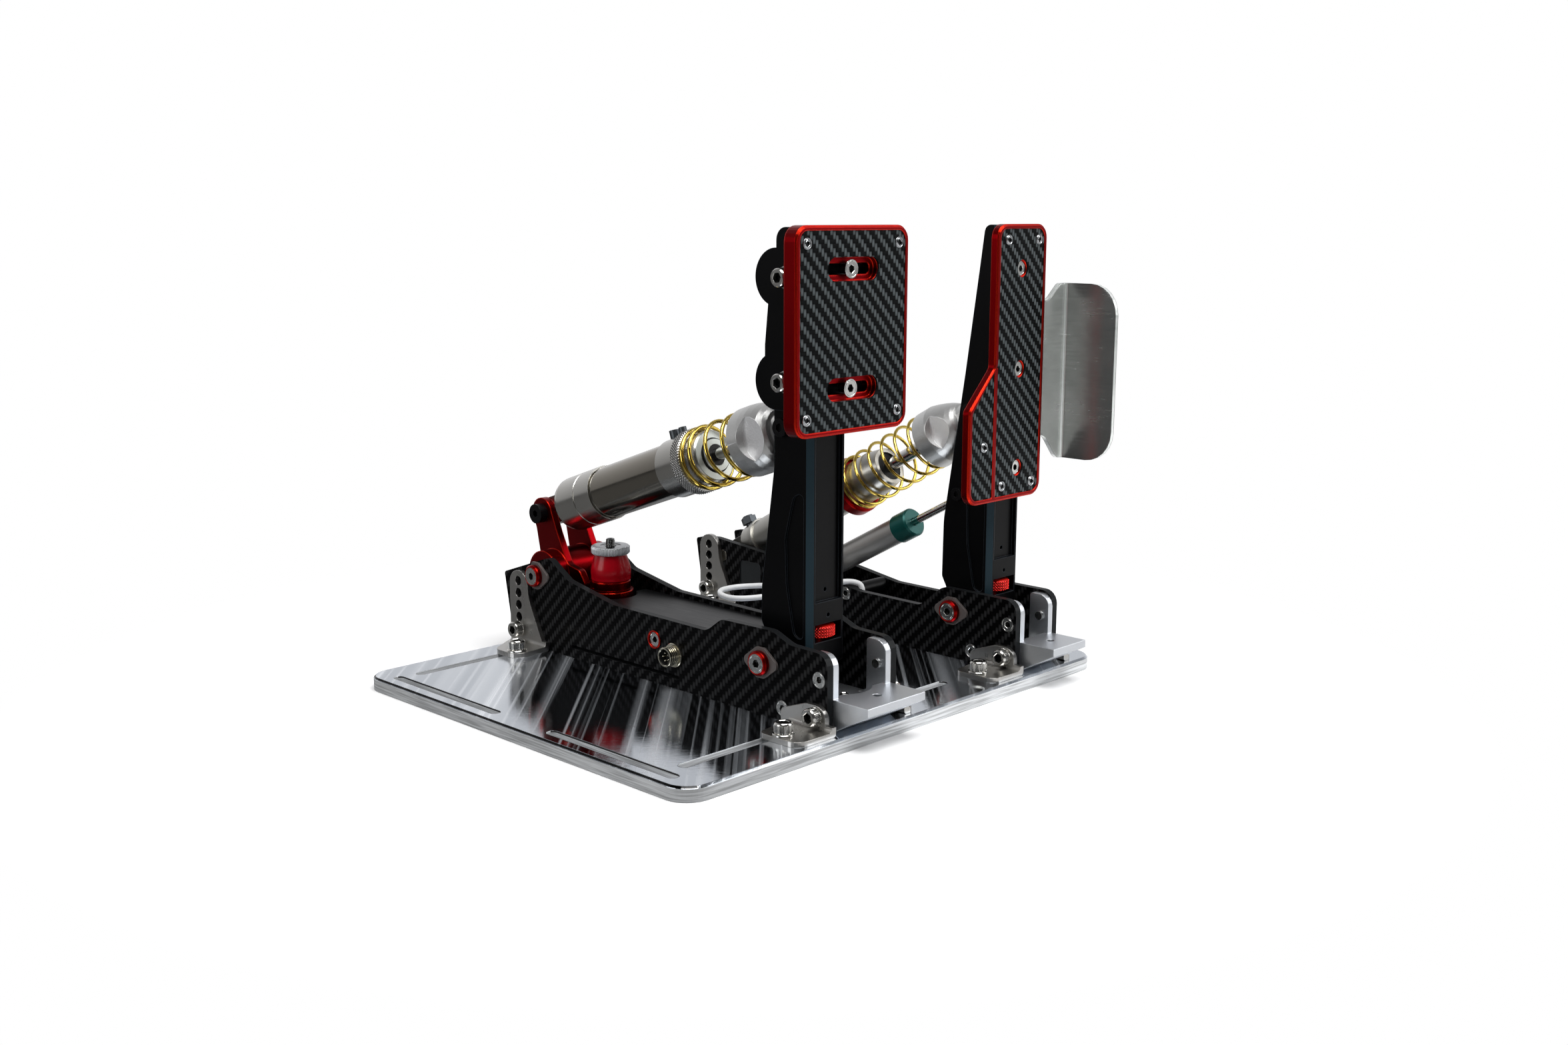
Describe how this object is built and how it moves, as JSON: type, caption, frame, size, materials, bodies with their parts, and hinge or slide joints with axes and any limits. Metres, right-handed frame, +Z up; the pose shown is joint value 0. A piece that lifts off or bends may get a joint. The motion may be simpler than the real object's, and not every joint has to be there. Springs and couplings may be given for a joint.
{
  "type": "sim racing pedal set",
  "caption": "Sim racing pedal set: brake with cylinder, spring and elastomer stack, and throttle with damper, on a slotted base plate; pedals, rods and wheels move.",
  "frame": {"origin": "centre of the base plate's underside, where the plate rests on a rig or floor", "axes": "+Z up, -Y towards the driver (the pedal faces look along -Y), +X towards the throttle"},
  "size_m": [0.344, 0.3011, 0.2675],
  "materials": {
    "mirror_steel": "mirror polished, slightly streaked",
    "cap_screw_steel": "zinc plated, satin",
    "bracket_steel": "satin stainless sheet",
    "carbon": "woven carbon fibre under clear lacquer, smooth edges",
    "silver_aluminium": "bead blasted, clear anodised",
    "black_aluminium": "black anodised, satin",
    "red_anodised": "bright red anodised",
    "countersunk_steel": "polished stainless",
    "socket_metal": "nickel plated, warm",
    "grey_plastic": "smooth grey plastic",
    "white_lead": "soft white jacket",
    "grey_aluminium": "dark satin aluminium",
    "satin_steel": "turned, satin",
    "polished_rod": "polished rod",
    "red_elastomer": "glossy red polyurethane",
    "gold_spring": "yellow passivated spring wire",
    "black_oxide": "black oxide",
    "teal_anodised": "teal anodised",
    "dark_seal": "black polymer bush"
  },
  "bodies": {
    "base": {"base_plate": "mirror_steel", "cap_screws": "cap_screw_steel", "front_brackets": "bracket_steel", "rear_brackets": "bracket_steel", "brake_plate_left": "carbon", "brake_plate_right": "carbon", "brake_heel": "silver_aluminium", "brake_cover": "black_aluminium", "throttle_plate_left": "carbon", "throttle_plate_right": "carbon", "throttle_heel": "silver_aluminium", "standoffs": "satin_steel", "boss_plates": "black_aluminium", "cup_washers": "red_anodised", "pivot_screws": "countersunk_steel", "side_screws": "countersunk_steel", "pivot_axles": "satin_steel", "lead_socket": "socket_metal", "sensor_cover": "grey_plastic", "sensor_lead": "white_lead", "load_cell": "grey_aluminium", "elastomer_stud": "countersunk_steel", "elastomer": "red_elastomer"},
    "preload_nut": {"preload_nut": "grey_aluminium"},
    "rocker": {"rocker": "red_anodised", "rocker_pin": "black_oxide", "elastomer_cup": "red_anodised"},
    "cylinder": {"cylinder_cap": "silver_aluminium", "cylinder_tube": "satin_steel", "cylinder_sleeve": "silver_aluminium", "cylinder_seal": "dark_seal", "cylinder_fittings": "grey_aluminium", "brake_spring": "gold_spring"},
    "spring_ring": {"spring_ring": "grey_aluminium"},
    "brake_rod": {"cylinder_rod": "polished_rod", "cylinder_knob": "silver_aluminium"},
    "brake_pedal": {"brake_arm": "black_aluminium", "brake_carrier": "black_aluminium", "carrier_screws": "cap_screw_steel", "brake_clevis_pin": "black_oxide", "brake_face": "red_anodised", "brake_inlay": "carbon", "brake_face_screws": "countersunk_steel"},
    "brake_wheel": {"brake_thumbwheel": "red_anodised"},
    "throttle_pedal": {"throttle_arm": "black_aluminium", "throttle_clevis_pins": "black_oxide", "throttle_face": "red_anodised", "throttle_inlays": "carbon", "throttle_face_screws": "countersunk_steel", "wing_plate": "silver_aluminium"},
    "throttle_wheel": {"throttle_thumbwheel": "red_anodised"},
    "damper": {"damper_tube": "satin_steel", "damper_collar": "red_anodised", "damper_fitting": "satin_steel", "throttle_spring": "gold_spring"},
    "damper_rod": {"damper_rod": "polished_rod", "damper_knob": "silver_aluminium"},
    "slim_damper": {"slim_damper": "satin_steel", "slim_damper_cap": "teal_anodised"},
    "slim_rod": {"slim_damper_rod": "polished_rod"}
  },
  "joints": [
    {"name": "brake_pedal_hinge", "type": "hinge", "parent": "base", "child": "brake_pedal", "pos_m": [-0.0348, -0.0815, 0.0374], "axis": [-1, 0, 0], "range_deg": [0, 7], "stiffness_Nm_per_rad": 70, "springref_deg": -2.86},
    {"name": "rocker_hinge", "type": "hinge", "parent": "base", "child": "rocker", "pos_m": [-0.0348, 0.1145, 0.054], "axis": [-1, 0, 0], "range_deg": [0, 3.1]},
    {"name": "cylinder_hinge", "type": "hinge", "parent": "rocker", "child": "cylinder", "pos_m": [-0.0348, 0.126, 0.0898], "axis": [-1, 0, 0], "range_deg": [-1.9, 0]},
    {"name": "brake_rod_slide", "type": "slide", "parent": "cylinder", "child": "brake_rod", "axis": [0, 0.9446, -0.3283], "range_m": [0, 0.0127], "deforming": ["brake_spring", "elastomer"]},
    {"name": "throttle_pedal_hinge", "type": "hinge", "parent": "base", "child": "throttle_pedal", "pos_m": [0.1206, -0.0815, 0.0374], "axis": [-1, 0, 0], "range_deg": [0, 12], "stiffness_Nm_per_rad": 9, "springref_deg": -6.88},
    {"name": "damper_hinge", "type": "hinge", "parent": "base", "child": "damper", "pos_m": [0.1206, 0.1195, 0.0415], "axis": [-1, 0, 0], "range_deg": [0, 3.2]},
    {"name": "damper_rod_slide", "type": "slide", "parent": "damper", "child": "damper_rod", "axis": [0, 0.8709, -0.4915], "range_m": [0, 0.0224], "deforming": ["throttle_spring"]},
    {"name": "slim_damper_hinge", "type": "hinge", "parent": "base", "child": "slim_damper", "pos_m": [0.1206, 0.07, 0.0264], "axis": [-1, 0, 0], "range_deg": [0, 2.1]},
    {"name": "slim_rod_slide", "type": "slide", "parent": "slim_damper", "child": "slim_rod", "axis": [0, 0.8784, -0.4779], "range_m": [0, 0.0137]},
    {"name": "brake_wheel_spin", "type": "hinge", "parent": "brake_pedal", "child": "brake_wheel", "pos_m": [-0.0348, -0.0963, 0.0535], "axis": [0, 0, 1], "continuous": true},
    {"name": "throttle_wheel_spin", "type": "hinge", "parent": "throttle_pedal", "child": "throttle_wheel", "pos_m": [0.1206, -0.0963, 0.0535], "axis": [0, 0, 1], "continuous": true},
    {"name": "preload_nut_spin", "type": "hinge", "parent": "base", "child": "preload_nut", "pos_m": [-0.0348, 0.0765, 0.072], "axis": [0, 0, 1], "continuous": true},
    {"name": "spring_ring_spin", "type": "hinge", "parent": "cylinder", "child": "spring_ring", "pos_m": [-0.0348, -0.0034, 0.13478], "axis": [0, -0.9446, 0.3283], "continuous": true}
  ],
  "couplings": [
    {"joint": "rocker_hinge", "follows": "brake_pedal_hinge", "ratio": 0.43},
    {"joint": "cylinder_hinge", "follows": "brake_pedal_hinge", "ratio": -0.253},
    {"joint": "brake_rod_slide", "follows": "brake_pedal_hinge", "m_per_rad": 0.103},
    {"joint": "damper_hinge", "follows": "throttle_pedal_hinge", "ratio": 0.256},
    {"joint": "damper_rod_slide", "follows": "throttle_pedal_hinge", "m_per_rad": 0.1065},
    {"joint": "slim_damper_hinge", "follows": "throttle_pedal_hinge", "ratio": 0.168},
    {"joint": "slim_rod_slide", "follows": "throttle_pedal_hinge", "m_per_rad": 0.0649}
  ]
}
